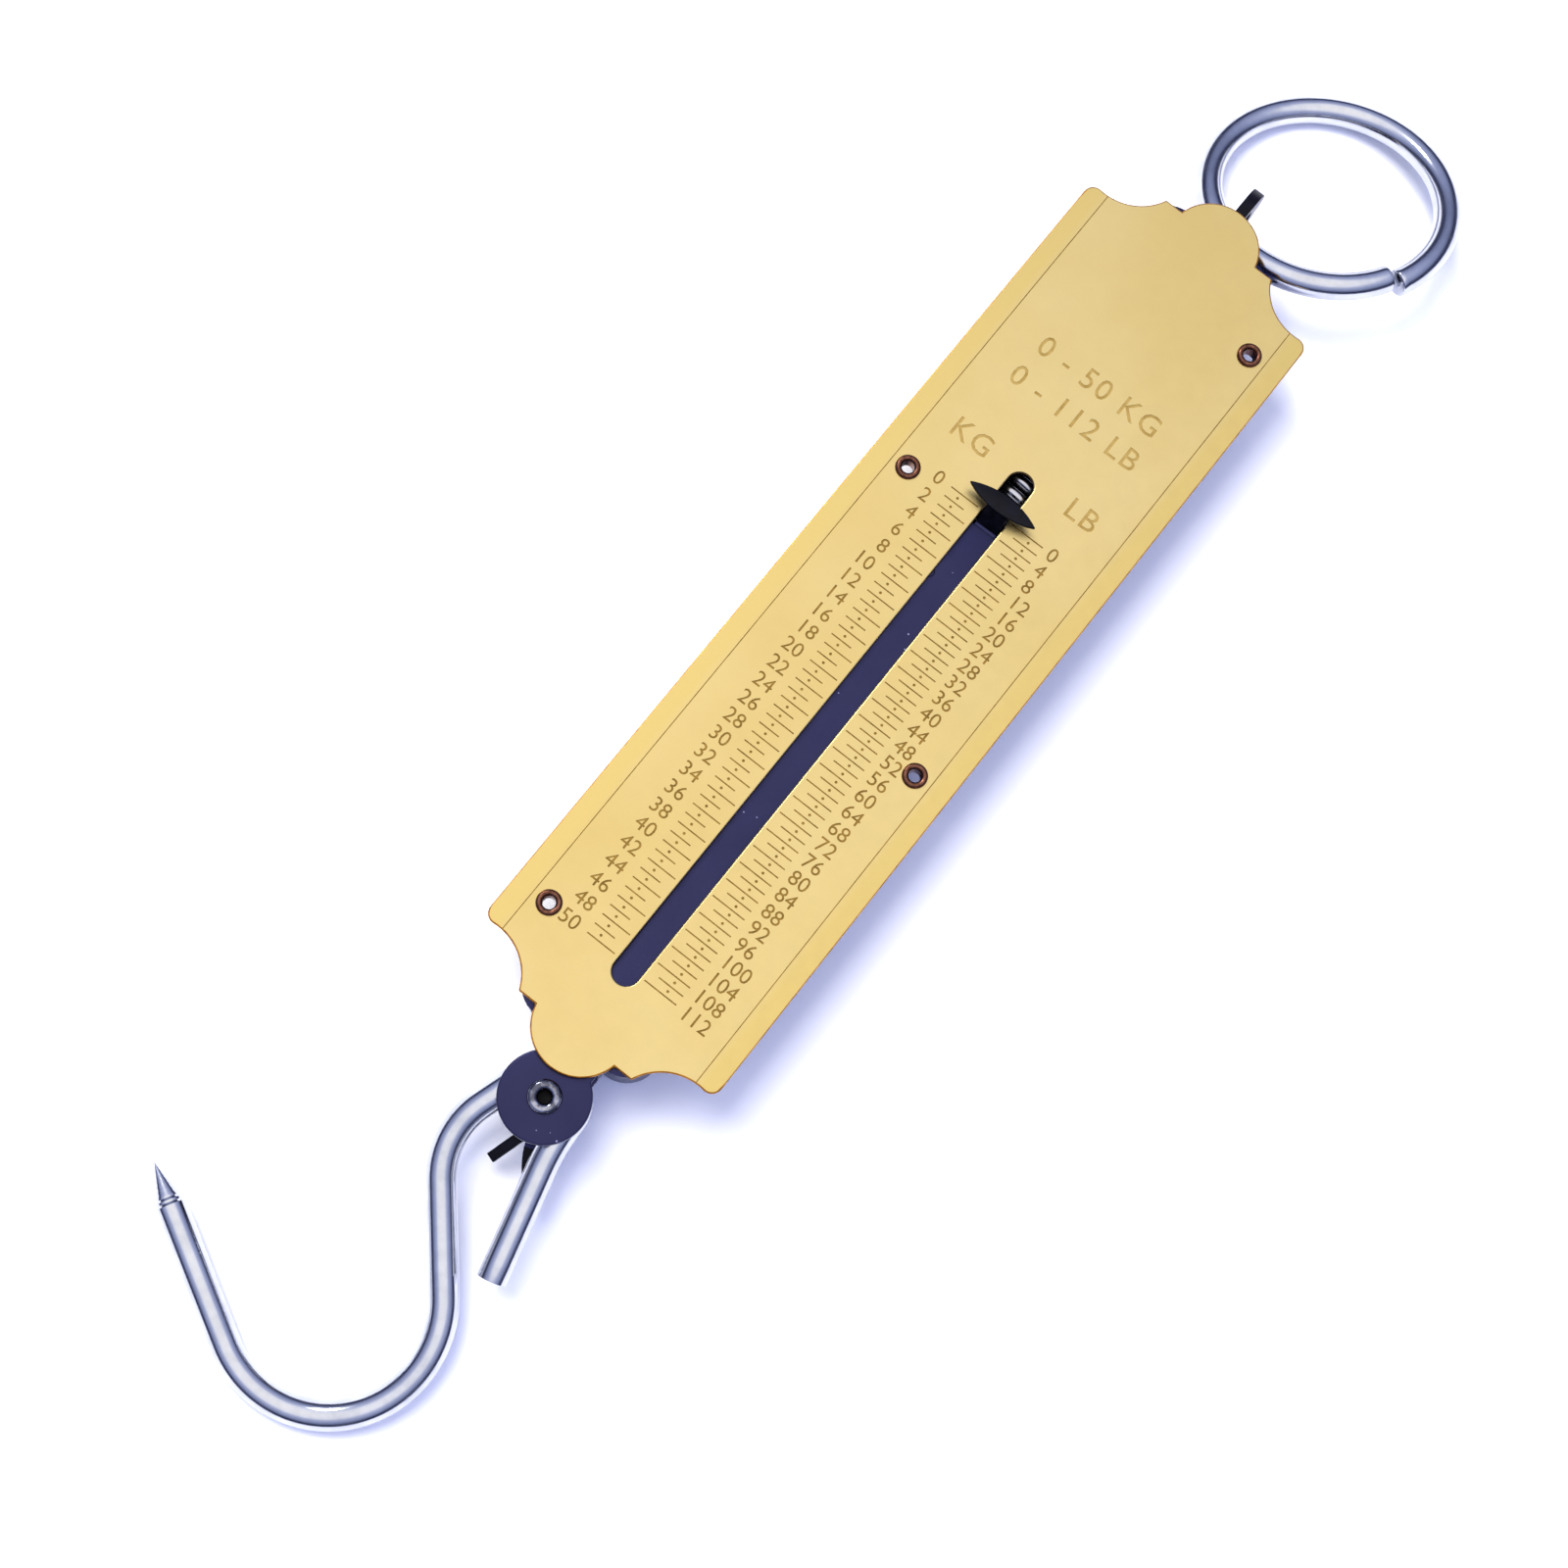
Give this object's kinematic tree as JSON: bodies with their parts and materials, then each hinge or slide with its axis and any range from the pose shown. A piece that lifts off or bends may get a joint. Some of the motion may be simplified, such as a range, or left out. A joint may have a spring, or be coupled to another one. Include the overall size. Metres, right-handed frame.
{
  "type": "hanging spring scale",
  "caption": "Hand-held hanging spring scale: brass dial plate on a black steel tray, sprung draw bar with a pointer in a slot, load hook below and a split ring to hang it by.",
  "frame": {"origin": "middle of the tray's flat back, on the table that the scale lies on", "axes": "+Y along the dial towards the ring, +X across the dial to the right as it is read, +Z out of the dial's face"},
  "size_m": [0.0761, 0.3098, 0.0229],
  "materials": {
    "dial_brass": "satin, stamped and lacquered sheet",
    "black_enamel": "stoved black enamel on pressed steel, satin",
    "bright_steel": "bright nickel-plated round wire",
    "spring_steel": "drawn spring wire, lightly oiled",
    "eyelet_copper": "antique copper-plated eyelet, satin"
  },
  "bodies": {
    "case": {"face_plate": "dial_brass", "back_housing": "black_enamel", "eyelet_1": "eyelet_copper", "eyelet_2": "eyelet_copper", "eyelet_3": "eyelet_copper", "eyelet_4": "eyelet_copper", "hanger_tab": "black_enamel", "hanger_pin": "black_enamel", "main_spring": "spring_steel"},
    "draw": {"draw_bar": "black_enamel", "rear_ear": "black_enamel", "strap_rivet_1": "black_enamel", "strap_rivet_2": "black_enamel", "spring_lug": "black_enamel", "lug_rivet_1": "black_enamel", "lug_rivet_2": "black_enamel", "clevis_rivet": "black_enamel"},
    "sleeve": {"clevis_sleeve": "bright_steel"},
    "hook": {"load_hook": "bright_steel"},
    "ring": {"suspension_ring": "bright_steel"}
  },
  "joints": [
    {"name": "draw_slide", "type": "slide", "parent": "case", "child": "draw", "axis": [0, -1, 0], "range_m": [0, 0.1], "stiffness_N_per_m": 4903, "deforming": ["main_spring"]},
    {"name": "hook_swing", "type": "hinge", "parent": "draw", "child": "sleeve", "pos_m": [0.00242, -0.10188, 0.01335], "axis": [0, 0, 1], "range_deg": [-70, 70]},
    {"name": "hook_rock", "type": "hinge", "parent": "sleeve", "child": "hook", "pos_m": [0.00242, -0.10188, 0.01335], "axis": [-1, 0, 0], "range_deg": [0, 20]},
    {"name": "ring_swing", "type": "hinge", "parent": "case", "child": "ring", "pos_m": [0, 0.0979, 0.0123], "axis": [1, 0, 0], "range_deg": [-80, 110]}
  ]
}
